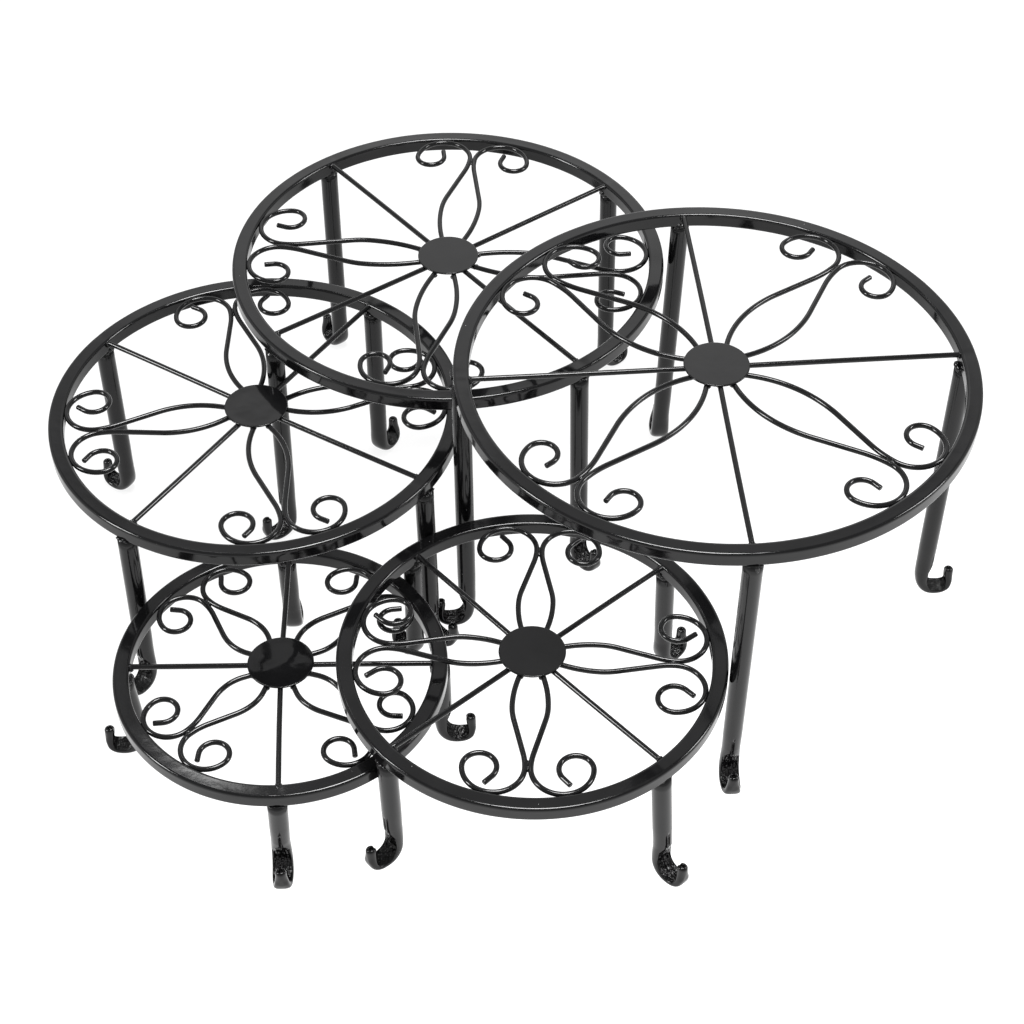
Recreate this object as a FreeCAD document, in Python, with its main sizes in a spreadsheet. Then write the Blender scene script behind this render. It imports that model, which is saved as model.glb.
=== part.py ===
import FreeCAD, Part
import math
import os

# A nesting set of five round plant stands in welded, painted steel.
# Every stand: a hoop rolled from square tube, a small round centre plate,
# four straight spokes, four scrolled petals (each of two mirrored wires) and
# four tube legs whose ends are crushed and bent outward into J-shaped feet.
# Frame: millimetres, +Z up, floor at Z = 0, origin on the floor under the
# middle of the whole set, +Y towards the back of the arrangement.

doc = FreeCAD.newDocument("plant_stand_set")
dims = doc.addObject("Spreadsheet::Sheet", "dims")

values = []


def cell(alias, value):
    values.append((alias, value))


# Shared stock sizes
cell("tube_side", 10.0)          # hoop tube, width and height
cell("tube_corner", 2.0)         # hoop tube corner radius
cell("tube_wall", 1.2)           # hoop tube wall
cell("wire_dia", 3.6)            # spokes and petals
cell("wire_bite", 0.03)          # depth of the weld contact
cell("leg_dia", 12.3)            # leg tube
cell("leg_wall", 1.2)            # leg tube wall
cell("leg_splay", 0.016)         # outward lean, mm per mm of height
cell("plate_dia", 43.0)          # centre plate
cell("plate_thick", 1.2)
cell("plate_rise", 0.9)          # plate top above the hoop top
cell("plate_edge", 0.3)          # rounded rim of the plate
cell("wire_start", 14.0)         # inner end of the spokes under the plate
cell("foot_top", 34.0)           # height where the crushed foot begins
cell("foot_level", 0.188)        # fine level of the foot
cell("tip_radius", 3.10)         # rounded nub at the end of the foot

# Foot stations in the radial plane of the leg: outer point, inner point and
# half width across. x is measured outward from the leg axis at foot_top.
FOOT = [
    (-6.10, 24.2, 5.90, 27.0, 6.25),
    (-5.60, 15.4, 5.00, 19.4, 6.50),
    (-3.60, 7.6, 4.10, 12.2, 6.70),
    (1.20, 2.0, 5.70, 7.4, 6.80),
    (7.91, 0.0, 8.91, 5.0, 6.80),
    (15.08, 0.5, 14.02, 5.0, 6.40),
    (20.20, 3.4, 16.08, 6.6, 5.60),
    (22.00, 8.6, 16.30, 9.6, 4.70),
    (22.10, 13.4, 15.50, 13.6, 3.90),
    (21.90, 18.2, 15.10, 18.2, 3.40),
]
for letter, (ox, oz, ix, iz, half) in zip("bcdefghijk", FOOT):
    cell("foot_outer_x_%s" % letter, ox)
    cell("foot_outer_z_%s" % letter, oz)
    cell("foot_inner_x_%s" % letter, ix)
    cell("foot_inner_z_%s" % letter, iz)
    cell("foot_half_%s" % letter, half)

# One row per stand: outer radius, height, place and turn on the floor, then
# the petal: start, peak, lobe radius, neck radius, scroll radius, curl radius,
# extra turn of the curl and length of the straight end.
STANDS = {
    "largest": dict(radius=170.0, height=222.0, x=130.39, y=-22.99, turn=4.10,
                    start_x=22.6, start_y=8.3, peak_x=60.0, peak_y=17.5, lobe=90.0,
                    neck=70.0, scroll=20.4, curl=10.0, hook=8.0, end=5.5),
    "large": dict(radius=153.5, height=183.0, x=-47.45, y=138.97, turn=38.11,
                  start_x=25.0, start_y=8.8, peak_x=58.0, peak_y=13.7, lobe=60.0,
                  neck=60.0, scroll=19.8, curl=10.0, hook=14.0, end=6.5),
    "medium": dict(radius=140.5, height=150.5, x=-175.76, y=14.08, turn=57.46,
                   start_x=23.6, start_y=7.0, peak_x=50.0, peak_y=12.6, lobe=65.0,
                   neck=55.0, scroll=19.3, curl=10.3, hook=48.0, end=6.0),
    "small": dict(radius=124.5, height=106.5, x=12.35, y=-167.97, turn=41.81,
                  start_x=22.9, start_y=8.6, peak_x=43.0, peak_y=11.2, lobe=45.0,
                  neck=45.0, scroll=19.1, curl=10.6, hook=42.0, end=7.0),
    "smallest": dict(radius=107.8, height=84.0, x=-149.74, y=-158.93, turn=3.00,
                     start_x=23.2, start_y=9.2, peak_x=35.5, peak_y=12.0, lobe=35.0,
                     neck=40.0, scroll=16.4, curl=9.6, hook=40.0, end=6.0),
}
for stand, row in STANDS.items():
    for key, value in row.items():
        cell("%s_%s" % (stand, key), value)

# Every leg was welded by hand and stands its own way: how far its foot, and
# its top under the hoop, lie outward and sideways (anticlockwise) of the even
# splay, quarter by quarter.
LEANS = {
    "largest": [(-3.74, -1.1), (0.3, 5.3), (-4.0, 9.6), (-9.0, 1.8)],
    "large": [(0.9, -1.5), (-2.6, 2.5), (0.0, 0.0), (3.0, 0.0)],
    "medium": [(-0.9, 0.8), (-1.4, 1.0), (0.4, -2.1), (1.6, 2.4)],
    "small": [(4.0, 2.0), (0.0, 0.0), (-2.7, 0.0), (1.1, 2.3)],
    "smallest": [(0.1, 2.8), (0.5, 0.0), (-3.3, -3.1), (-4.7, -1.3)],
}
SEATS = {
    "largest": [(-1.4, 0.5), (0.3, 2.1), (0.0, 0.0), (0.0, 0.0)],
    "large": [(0.4, -0.5), (0.7, 1.8), (0.0, 0.0), (0.0, 0.0)],
    "medium": [(0.0, 0.0), (0.6, 0.9), (0.7, -1.0), (0.6, 3.4)],
    "small": [(0.0, 0.0), (0.0, 0.0), (0.0, 0.0), (-0.8, -1.3)],
    "smallest": [(0.0, 0.0), (0.0, 0.0), (0.0, 0.0), (0.0, 0.0)],
}
for stand in LEANS:
    for quarter in range(4):
        for end, table in (("leg", LEANS), ("seat", SEATS)):
            cell("%s_%s_out_%d" % (stand, end, quarter), table[stand][quarter][0])
            cell("%s_%s_side_%d" % (stand, end, quarter), table[stand][quarter][1])

# The wires were set by eye: how far, in degrees anticlockwise, each spoke and
# each petal is turned from its even place.
SPOKE_TURNS = {
    "largest": [0.8, 0.3, 0.6, -0.3],
    "large": [-0.7, 0.7, -1.9, 0.5],
    "medium": [-0.2, 0.9, 0.1, 1.7],
    "small": [-0.2, -0.3, -0.2, 0.6],
    "smallest": [-1.8, -1.5, -1.7, 0.8],
}
PETAL_TURNS = {
    "largest": [0.5, 0.7, 0.3, 0.0],
    "large": [-0.3, 0.4, -0.4, -0.7],
    "medium": [1.8, 0.3, 2.0, -0.9],
    "small": [0.0, -0.7, 1.3, -1.4],
    "smallest": [-1.1, -3.5, -1.7, 0.8],
}
for stand in STANDS:
    for quarter in range(4):
        cell("%s_spoke_turn_%d" % (stand, quarter), SPOKE_TURNS[stand][quarter])
        cell("%s_petal_turn_%d" % (stand, quarter), PETAL_TURNS[stand][quarter])

for n, (alias, value) in enumerate(values):
    address = "B%d" % (n + 1)
    dims.set("A%d" % (n + 1), alias)
    dims.set(address, repr(float(value)))
    dims.setAlias(address, alias)
doc.recompute()


def size(alias):
    return float(getattr(dims, alias))


ALONG_Z = FreeCAD.Vector(0, 0, 1)
nodes = []


def plane_of(body, role):
    for feature in body.Origin.OriginFeatures:
        if feature.Role == role:
            return feature
    raise RuntimeError(role)


def sketch_on(body, role, name):
    sketch = body.newObject("Sketcher::SketchObject", name)
    sketch.AttachmentSupport = [(plane_of(body, role), "")]
    sketch.MapMode = "FlatFace"
    return sketch


def put(obj, stand, lift=None, quarter=0.0, extra=None):
    """Stand an object on the stand's own axis, turned by quarter turns and an extra angle."""
    obj.setExpression("Placement.Base.x", "dims.%s_x" % stand)
    obj.setExpression("Placement.Base.y", "dims.%s_y" % stand)
    if lift:
        obj.setExpression("Placement.Base.z", lift)
    own = size(extra) if extra else 0.0
    obj.Placement.Rotation = FreeCAD.Rotation(ALONG_Z, size("%s_turn" % stand) + 90.0 * quarter + own)
    more = " + dims.%s" % extra if extra else ""
    obj.setExpression("Placement.Rotation.Angle", "(dims.%s_turn + %g%s) * 1 deg" % (stand, 90.0 * quarter, more))


def rectangle(sketch, x_expr, z_expr, w_expr, h_expr):
    """Axis-parallel rectangle with its four sizes bound to the sheet."""
    import Sketcher
    v = FreeCAD.Vector
    corners = [v(100, -10, 0), v(110, -10, 0), v(110, 0, 0), v(100, 0, 0)]
    for i in range(4):
        sketch.addGeometry(Part.LineSegment(corners[i], corners[(i + 1) % 4]), False)
    for i in range(4):
        sketch.addConstraint(Sketcher.Constraint("Coincident", i, 2, (i + 1) % 4, 1))
    for i in (0, 2):
        sketch.addConstraint(Sketcher.Constraint("Horizontal", i))
    for i in (1, 3):
        sketch.addConstraint(Sketcher.Constraint("Vertical", i))
    c = sketch.addConstraint(Sketcher.Constraint("DistanceX", -1, 1, 0, 1, 100.0))
    sketch.setExpression("Constraints[%d]" % c, x_expr)
    c = sketch.addConstraint(Sketcher.Constraint("DistanceY", 0, 1, -1, 1, 10.0))
    sketch.setExpression("Constraints[%d]" % c, z_expr)
    c = sketch.addConstraint(Sketcher.Constraint("DistanceX", 0, 1, 0, 2, 10.0))
    sketch.setExpression("Constraints[%d]" % c, w_expr)
    c = sketch.addConstraint(Sketcher.Constraint("DistanceY", 1, 1, 1, 2, 10.0))
    sketch.setExpression("Constraints[%d]" % c, h_expr)


def make_hoop(stand):
    """Closed hoop of square tube, top face at local Z = 0."""
    name = "%s_hoop" % stand
    body = doc.addObject("PartDesign::Body", name)
    body.Label = name
    outer = sketch_on(body, "XZ_Plane", name + "_section")
    rectangle(outer, "dims.%s_radius - dims.tube_side" % stand, "dims.tube_side",
              "dims.tube_side", "dims.tube_side")
    ring = body.newObject("PartDesign::Revolution", name + "_ring")
    ring.Profile = outer
    ring.ReferenceAxis = (outer, ["V_Axis"])
    ring.Angle = 360.0
    doc.recompute()
    edges = []
    for i, edge in enumerate(ring.Shape.Edges):
        if isinstance(edge.Curve, Part.Circle) and edge.Length > 100.0:
            edges.append("Edge%d" % (i + 1))
    round_over = body.newObject("PartDesign::Fillet", name + "_corners")
    round_over.Base = (ring, edges)
    round_over.setExpression("Radius", "dims.tube_corner")
    doc.recompute()
    before = round_over.Shape.Volume
    inner = sketch_on(body, "XZ_Plane", name + "_bore")
    rectangle(inner, "dims.%s_radius - dims.tube_side + dims.tube_wall" % stand,
              "dims.tube_side - dims.tube_wall",
              "dims.tube_side - 2 * dims.tube_wall", "dims.tube_side - 2 * dims.tube_wall")
    bore = body.newObject("PartDesign::Groove", name + "_inside")
    bore.Profile = inner
    bore.ReferenceAxis = (inner, ["V_Axis"])
    bore.Angle = 360.0
    body.Tip = bore
    doc.recompute()
    if not bore.Shape.Volume < 0.7 * before:
        raise RuntimeError("the hoop tube is not hollow")
    put(body, stand, "dims.%s_height" % stand)
    nodes.append(body)


def make_plate(stand):
    """Round centre plate, lying on the wires."""
    import Sketcher
    name = "%s_centre_plate" % stand
    body = doc.addObject("PartDesign::Body", name)
    body.Label = name
    sketch = sketch_on(body, "XY_Plane", name + "_outline")
    sketch.addGeometry(Part.Circle(FreeCAD.Vector(0, 0, 0), ALONG_Z, 20.0), False)
    sketch.addConstraint(Sketcher.Constraint("Coincident", 0, 3, -1, 1))
    c = sketch.addConstraint(Sketcher.Constraint("Radius", 0, 20.0))
    sketch.setExpression("Constraints[%d]" % c, "dims.plate_dia / 2")
    pad = body.newObject("PartDesign::Pad", name + "_pad")
    pad.Profile = sketch
    pad.setExpression("Length", "dims.plate_thick")
    doc.recompute()
    rim = body.newObject("PartDesign::Fillet", name + "_rim")
    rim.Base = (pad, ["Edge%d" % (i + 1) for i, e in enumerate(pad.Shape.Edges)
                      if isinstance(e.Curve, Part.Circle)])
    rim.setExpression("Radius", "dims.plate_edge")
    body.Tip = rim
    put(body, stand, "dims.%s_height + dims.plate_rise - dims.plate_thick" % stand)
    nodes.append(body)


# Height of the wire axes below the hoop top: the wires carry the plate.
WIRE_Z = "dims.plate_rise - dims.plate_thick - dims.wire_dia / 2 + dims.wire_bite"


def make_spokes(stand):
    """Four straight wires from under the plate to the hoop's inner wall."""
    rods = []
    for quarter in range(4):
        rod = doc.addObject("Part::Cylinder", "%s_spoke_%s" % (stand, "abcd"[quarter]))
        rod.setExpression("Radius", "dims.wire_dia / 2")
        rod.setExpression("Height", "dims.%s_radius - dims.tube_side - dims.wire_start + dims.wire_bite" % stand)
        turn = FreeCAD.Rotation(ALONG_Z, 90.0 * quarter + size("%s_spoke_turn_%d" % (stand, quarter)))
        out = turn.multVec(FreeCAD.Vector(1, 0, 0))
        rod.Placement = FreeCAD.Placement(out * size("wire_start"),
                                          FreeCAD.Rotation(ALONG_Z, out))
        rods.append(rod)
    group = doc.addObject("Part::Compound", "%s_spokes" % stand)
    group.Label = "%s_spokes" % stand
    group.Links = rods
    put(group, stand, "dims.%s_height + %s" % (stand, WIRE_Z))
    nodes.append(group)


def petal_path(stand):
    """Centre line of one petal wire: x outward along the petal, y to its side."""
    v = FreeCAD.Vector
    half = size("wire_dia") / 2 + 0.02
    inner = size("%s_radius" % stand) - size("tube_side")
    scroll = size("%s_scroll" % stand)
    curl = size("%s_curl" % stand)
    hook = math.radians(size("%s_hook" % stand))
    lobe = size("%s_lobe" % stand)
    neck = size("%s_neck" % stand)
    sx, sy = size("%s_start_x" % stand), size("%s_start_y" % stand)
    px, py = size("%s_peak_x" % stand), size("%s_peak_y" % stand)
    # the scroll just bites into the hoop's inner wall
    reach = inner - size("wire_dia") / 2 + size("wire_bite") - scroll
    kx = math.sqrt(reach ** 2 - (half + scroll) ** 2)
    ky = half
    # slope of the straight neck between the lobe and the kissing point
    low, high = 0.02, 1.2
    for _ in range(80):
        b = (low + high) / 2
        jx, jy = px + lobe * math.sin(b), py - lobe * (1 - math.cos(b))
        ix, iy = kx - neck * math.sin(b), ky + neck * (1 - math.cos(b))
        if (jy - iy) > math.tan(b) * (ix - jx):
            low = b
        else:
            high = b
    # start under the plate and first arc
    a = 2 * math.atan2(py - sy, px - sx)
    rise = (px - sx) / math.sin(a)
    back = 9.0
    p0 = v(sx - back * math.cos(a), sy - back * math.sin(a), 0)
    p1 = v(sx, sy, 0)
    c1 = v(px, py - rise, 0)
    m1 = c1 + v(-rise * math.sin(a / 2), rise * math.cos(a / 2), 0)
    p2 = v(px, py, 0)
    c2 = v(px, py - lobe, 0)
    m2 = c2 + v(lobe * math.sin(b / 2), lobe * math.cos(b / 2), 0)
    p3 = v(jx, jy, 0)
    p4 = v(ix, iy, 0)
    c3 = v(kx, ky + neck, 0)
    m3 = c3 + v(-neck * math.sin(b / 2), -neck * math.cos(b / 2), 0)
    p5 = v(kx, ky, 0)
    c4 = v(kx, ky + scroll, 0)
    p6 = v(kx, ky + 2 * scroll, 0)
    c5 = v(kx, ky + 2 * scroll - curl, 0)
    total = math.pi + hook
    p7 = c5 + v(-curl * math.sin(total), curl * math.cos(total), 0)
    m5 = c5 + v(-curl * math.sin(total / 2), curl * math.cos(total / 2), 0)
    end = size("%s_end" % stand)
    p8 = p7 + v(math.cos(hook) * end, math.sin(hook) * end, 0)
    edges = [
        Part.LineSegment(p0, p1).toShape(),
        Part.Arc(p1, m1, p2).toShape(),
        Part.Arc(p2, m2, p3).toShape(),
        Part.LineSegment(p3, p4).toShape(),
        Part.Arc(p4, m3, p5).toShape(),
        Part.Arc(p5, c4 + v(scroll, 0, 0), p6).toShape(),
        Part.Arc(p6, m5, p7).toShape(),
        Part.LineSegment(p7, p8).toShape(),
    ]
    return Part.Wire(edges), p0, (p1 - p0).normalize()


def make_petals(stand, places):
    """Pairs of mirrored wires, one pair between each two spokes."""
    line, start, along = petal_path(stand)
    path = doc.addObject("Part::Feature", "%s_petal_line" % stand)
    path.Shape = line
    section = doc.addObject("Part::Circle", "%s_petal_section" % stand)
    section.setExpression("Radius", "dims.wire_dia / 2")
    section.Placement = FreeCAD.Placement(start, FreeCAD.Rotation(ALONG_Z, along))
    wire = doc.addObject("Part::Sweep", "%s_petal_wire" % stand)
    wire.Sections = [section]
    wire.Spine = (path, ["Edge%d" % (i + 1) for i in range(len(line.Edges))])
    wire.Solid = True
    wire.Frenet = False
    twin = doc.addObject("Part::Mirroring", "%s_petal_twin" % stand)
    twin.Source = wire
    twin.Base = FreeCAD.Vector(0, 0, 0)
    twin.Normal = FreeCAD.Vector(0, 1, 0)
    for quarter, place in enumerate(places):
        pair = doc.addObject("Part::Compound", "%s_petal_%s" % (stand, place))
        pair.Label = "%s_petal_%s" % (stand, place)
        pair.Links = [wire, twin]
        put(pair, stand, "dims.%s_height + %s" % (stand, WIRE_Z), quarter + 0.5,
            "%s_petal_turn_%d" % (stand, quarter))
        nodes.append(pair)


def foot_oval(name, letter, out, side):
    """One cross-section of the foot, square to the radial plane of the leg."""
    ox, oz = size("foot_outer_x_" + letter), size("foot_outer_z_" + letter)
    ix, iz = size("foot_inner_x_" + letter), size("foot_inner_z_" + letter)
    oval = doc.addObject("Part::Ellipse", name)
    oval.setExpression("MajorRadius", "dims.foot_half_%s" % letter)
    oval.setExpression("MinorRadius",
                       "sqrt((dims.foot_outer_x_{0} - dims.foot_inner_x_{0})^2 + "
                       "(dims.foot_outer_z_{0} - dims.foot_inner_z_{0})^2) / 2".format(letter))
    across = FreeCAD.Vector(0, 1, 0)
    inward = FreeCAD.Vector(ix - ox, 0, iz - oz).normalize()
    turn = FreeCAD.Rotation(across, inward, across.cross(inward), "XYZ")
    middle = FreeCAD.Vector((ox + ix) / 2 + out, side, (oz + iz) / 2 + size("foot_level"))
    oval.Placement = FreeCAD.Placement(middle, turn)
    return oval


def make_foot(leg, out, side):
    """Crushed and bent tube end with a rounded nub: x outward, floor at Z = 0."""
    bend = doc.addObject("Part::Loft", "%s_foot_bend" % leg)
    bend.Sections = [foot_oval("%s_foot_section_%s" % (leg, letter), letter, out, side)
                     for letter in "bcdefghijk"]
    bend.Solid = True
    bend.Ruled = False
    bend.Closed = False
    bend.MaxDegree = 2
    tip = doc.addObject("Part::Sphere", "%s_foot_tip" % leg)
    tip.setExpression("Radius", "dims.tip_radius")
    tip.Placement.Base = FreeCAD.Vector(
        (size("foot_outer_x_k") + size("foot_inner_x_k")) / 2 + out, side,
        (size("foot_outer_z_k") + size("foot_inner_z_k")) / 2 + size("foot_level"))
    return bend, tip


def make_legs(stand, places):
    """Four tubes, tops flush under the hoop, leaning slightly outward."""
    top = size("%s_height" % stand) - size("tube_side")
    low = size("foot_top")
    middle = size("%s_radius" % stand) - size("tube_side") / 2
    wall = size("leg_wall")
    bend_z = (size("foot_outer_z_b") + size("foot_inner_z_b")) / 2 + size("foot_level")
    for quarter, place in enumerate(places):
        name = "%s_leg_%s" % (stand, place)
        out = size("leg_splay") * (top - low) + size("%s_leg_out_%d" % (stand, quarter))
        side = size("%s_leg_side_%d" % (stand, quarter))
        seat_out = size("%s_seat_out_%d" % (stand, quarter))
        seat_side = size("%s_seat_side_%d" % (stand, quarter))

        def disc(part, radius_expr, z):
            ring = doc.addObject("Part::Circle", "%s_%s" % (name, part))
            ring.setExpression("Radius", radius_expr)
            down = (top - z) / (top - bend_z)
            ring.Placement.Base = FreeCAD.Vector(middle + out * down + seat_out * (1 - down),
                                                 side * down + seat_side * (1 - down), z)
            return ring

        tube = doc.addObject("Part::Loft", "%s_tube" % name)
        tube.Sections = [foot_oval("%s_low" % name, "b", middle + out, side),
                         disc("high", "dims.leg_dia / 2", top)]
        tube.Solid = True
        tube.Ruled = True
        core = doc.addObject("Part::Loft", "%s_core" % name)
        core.Sections = [disc("core_low", "dims.leg_dia / 2 - dims.leg_wall", low + 6),
                         disc("core_high", "dims.leg_dia / 2 - dims.leg_wall", top - wall)]
        core.Solid = True
        core.Ruled = True
        bend, tip = make_foot(name, middle + out, side)
        whole = doc.addObject("Part::MultiFuse", "%s_whole" % name)
        whole.Shapes = [tube, bend, tip]
        leg = doc.addObject("Part::Cut", "%s_bored" % name)
        leg.Base = whole
        leg.Tool = core
        item = doc.addObject("Part::Compound", name)
        item.Label = name
        item.Links = [leg]
        put(item, stand, None, quarter)
        nodes.append(item)


STRAIGHT = ("right", "rear", "left", "front")
CORNERS = ("rear_right", "rear_left", "front_left", "front_right")
TURNED = ("rear", "left", "front", "right")

for stand in STANDS:
    square = stand in ("largest", "smallest")
    make_hoop(stand)
    make_plate(stand)
    make_spokes(stand)
    make_petals(stand, CORNERS if square else TURNED)
    make_legs(stand, STRAIGHT if square else CORNERS)

doc.recompute()

problems = []
for obj in doc.Objects:
    if "Invalid" in obj.State or "Error" in obj.State:
        problems.append("%s: %s" % (obj.Label, obj.State))
for node in nodes:
    if node.Shape.isNull() or not node.Shape.isValid() or not node.Shape.Solids:
        problems.append("%s: bad shape" % node.Label)
if problems:
    raise RuntimeError("; ".join(problems))

os.makedirs("parts", exist_ok=True)
for node in nodes:
    node.Shape.exportStep("parts/%s.step" % node.Label)
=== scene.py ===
import math

import bpy
import numpy as np
from mathutils import Matrix, Vector, noise


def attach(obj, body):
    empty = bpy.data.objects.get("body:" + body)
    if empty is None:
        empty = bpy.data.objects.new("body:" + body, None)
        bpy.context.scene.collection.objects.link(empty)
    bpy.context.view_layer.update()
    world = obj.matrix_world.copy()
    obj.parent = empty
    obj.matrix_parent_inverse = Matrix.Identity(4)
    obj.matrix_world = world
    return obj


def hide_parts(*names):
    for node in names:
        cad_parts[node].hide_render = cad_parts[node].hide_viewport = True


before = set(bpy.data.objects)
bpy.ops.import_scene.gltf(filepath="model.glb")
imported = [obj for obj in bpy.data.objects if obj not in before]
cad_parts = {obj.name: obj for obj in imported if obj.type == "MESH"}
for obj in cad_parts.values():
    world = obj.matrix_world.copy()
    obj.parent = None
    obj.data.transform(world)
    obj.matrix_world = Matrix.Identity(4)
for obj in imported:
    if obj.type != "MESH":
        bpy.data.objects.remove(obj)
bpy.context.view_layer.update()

MM = 0.001

# ---------------------------------------------------------------- sizes (mm)

STANDS = {
    "largest": dict(radius=170.0, height=222.0, x=130.39, y=-22.99, turn=4.10,
                    start=(22.6, 8.3), peak=(60.0, 17.5), lobe=90.0, neck=70.0,
                    scroll=20.4, curl=10.0, hook=8.0, end=5.5, seed=11),
    "large": dict(radius=153.5, height=183.0, x=-47.45, y=138.97, turn=38.11,
                  start=(25.0, 8.8), peak=(58.0, 13.7), lobe=60.0, neck=60.0,
                  scroll=19.8, curl=10.0, hook=14.0, end=6.5, seed=23),
    "medium": dict(radius=140.5, height=150.5, x=-175.76, y=14.08, turn=57.46,
                   start=(23.6, 7.0), peak=(50.0, 12.6), lobe=65.0, neck=55.0,
                   scroll=19.3, curl=10.3, hook=48.0, end=6.0, seed=37),
    "small": dict(radius=124.5, height=106.5, x=12.35, y=-167.97, turn=41.81,
                  start=(22.9, 8.6), peak=(43.0, 11.2), lobe=45.0, neck=45.0,
                  scroll=19.1, curl=10.6, hook=42.0, end=7.0, seed=51),
    "smallest": dict(radius=107.8, height=84.0, x=-149.74, y=-158.93, turn=3.00,
                     start=(23.2, 9.2), peak=(35.5, 12.0), lobe=35.0, neck=40.0,
                     scroll=16.4, curl=9.6, hook=40.0, end=6.0, seed=67),
}
STRAIGHT = ("right", "rear", "left", "front")
CORNERS = ("rear_right", "rear_left", "front_left", "front_right")
TURNED = ("rear", "left", "front", "right")

SIDE = 10.0
PAINTED = 10.4            # hoop tube with its paint, which fills it out inward and below
CORNER = 1.9              # softened by the paint
WIRE = 1.8
LEG = 6.35                # with its paint
SPLAY = 0.016
PLATE_R = 21.5
PLATE_T = 1.2
PLATE_RISE = 0.9
WIRE_DROP = 2.07          # wire axis below the hoop top
FOOT_TOP = 34.0

# foot stations: outer point, inner point (radial, height), half width
FOOT = [
    (-6.10, 24.2, 5.90, 27.0, 6.25),
    (-5.60, 15.4, 5.00, 19.4, 6.50),
    (-3.60, 7.6, 4.10, 12.2, 6.70),
    (1.20, 2.0, 5.70, 7.4, 6.80),
    (7.91, 0.0, 8.91, 5.0, 6.80),
    (15.08, 0.5, 14.02, 5.0, 6.40),
    (20.20, 3.4, 16.08, 6.6, 5.60),
    (22.00, 8.6, 16.30, 9.6, 4.70),
    (22.10, 13.4, 15.50, 13.6, 3.90),
    (21.90, 18.2, 15.10, 18.2, 3.40),
]
FOOT_LEVEL = 0.188

# how far each leg's foot, and its top under the hoop, lie outward and
# sideways of the even splay
LEANS = {
    "largest": [(-3.74, -1.1), (0.3, 5.3), (-4.0, 9.6), (-9.0, 1.8)],
    "large": [(0.9, -1.5), (-2.6, 2.5), (0.0, 0.0), (3.0, 0.0)],
    "medium": [(-0.9, 0.8), (-1.4, 1.0), (0.4, -2.1), (1.6, 2.4)],
    "small": [(4.0, 2.0), (0.0, 0.0), (-2.7, 0.0), (1.1, 2.3)],
    "smallest": [(0.1, 2.8), (0.5, 0.0), (-3.3, -3.1), (-4.7, -1.3)],
}
# every wire's turn is listed in degrees anticlockwise from its even place
SPOKE_TURNS = {
    "largest": [0.8, 0.3, 0.6, -0.3],
    "large": [-0.7, 0.7, -1.9, 0.5],
    "medium": [-0.2, 0.9, 0.1, 1.7],
    "small": [-0.2, -0.3, -0.2, 0.6],
    "smallest": [-1.8, -1.5, -1.7, 0.8],
}
PETAL_TURNS = {
    "largest": [0.5, 0.7, 0.3, 0.0],
    "large": [-0.3, 0.4, -0.4, -0.7],
    "medium": [1.8, 0.3, 2.0, -0.9],
    "small": [0.0, -0.7, 1.3, -1.4],
    "smallest": [-1.1, -3.5, -1.7, 0.8],
}
SEATS = {
    "largest": [(-1.4, 0.5), (0.3, 2.1), (0.0, 0.0), (0.0, 0.0)],
    "large": [(0.4, -0.5), (0.7, 1.8), (0.0, 0.0), (0.0, 0.0)],
    "medium": [(0.0, 0.0), (0.6, 0.9), (0.7, -1.0), (0.6, 3.4)],
    "small": [(0.0, 0.0), (0.0, 0.0), (0.0, 0.0), (-0.8, -1.3)],
    "smallest": [(0.0, 0.0), (0.0, 0.0), (0.0, 0.0), (0.0, 0.0)],
}


# ---------------------------------------------------------------- mesh tools

def smoothstep(a, b, x):
    if a == b:
        return 1.0 if x >= b else 0.0
    f = min(1.0, max(0.0, (x - a) / (b - a)))
    return f * f * (3 - 2 * f)


def make_object(name, verts, faces, mats):
    """A mesh object from millimetre points, smooth shaded."""
    mesh = bpy.data.meshes.new(name)
    mesh.from_pydata([(v[0] * MM, v[1] * MM, v[2] * MM) for v in verts], [], faces)
    mesh.validate()
    mesh.update()
    for poly in mesh.polygons:
        poly.use_smooth = True
    for mat in mats:
        mesh.materials.append(mat)
    obj = bpy.data.objects.new(name, mesh)
    bpy.context.scene.collection.objects.link(obj)
    return obj


def skin(rings, closed=False, cap=True):
    """Quads between rings of points; returns verts and faces."""
    n = len(rings[0])
    verts = [p for ring in rings for p in ring]
    faces = []
    count = len(rings)
    for i in range(count if closed else count - 1):
        a, b = i * n, ((i + 1) % count) * n
        for j in range(n):
            k = (j + 1) % n
            faces.append((a + j, a + k, b + k, b + j))
    if cap and not closed:
        faces.append(tuple(range(n - 1, -1, -1)))
        faces.append(tuple(range((count - 1) * n, count * n)))
    return verts, faces


def merge(parts):
    verts, faces = [], []
    for v, f in parts:
        base = len(verts)
        verts.extend(v)
        faces.extend([tuple(i + base for i in face) for face in f])
    return verts, faces


def placed(verts, stand, angle, lift=0.0):
    """Turns points about the stand's axis and moves them to the stand's place."""
    row = STANDS[stand]
    c, s = math.cos(math.radians(angle)), math.sin(math.radians(angle))
    return [(row["x"] + v[0] * c - v[1] * s, row["y"] + v[0] * s + v[1] * c, v[2] + lift)
            for v in verts]


def fbm(p, octaves=3):
    return noise.fractal(Vector(p), 1.0, 2.0, octaves)


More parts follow.
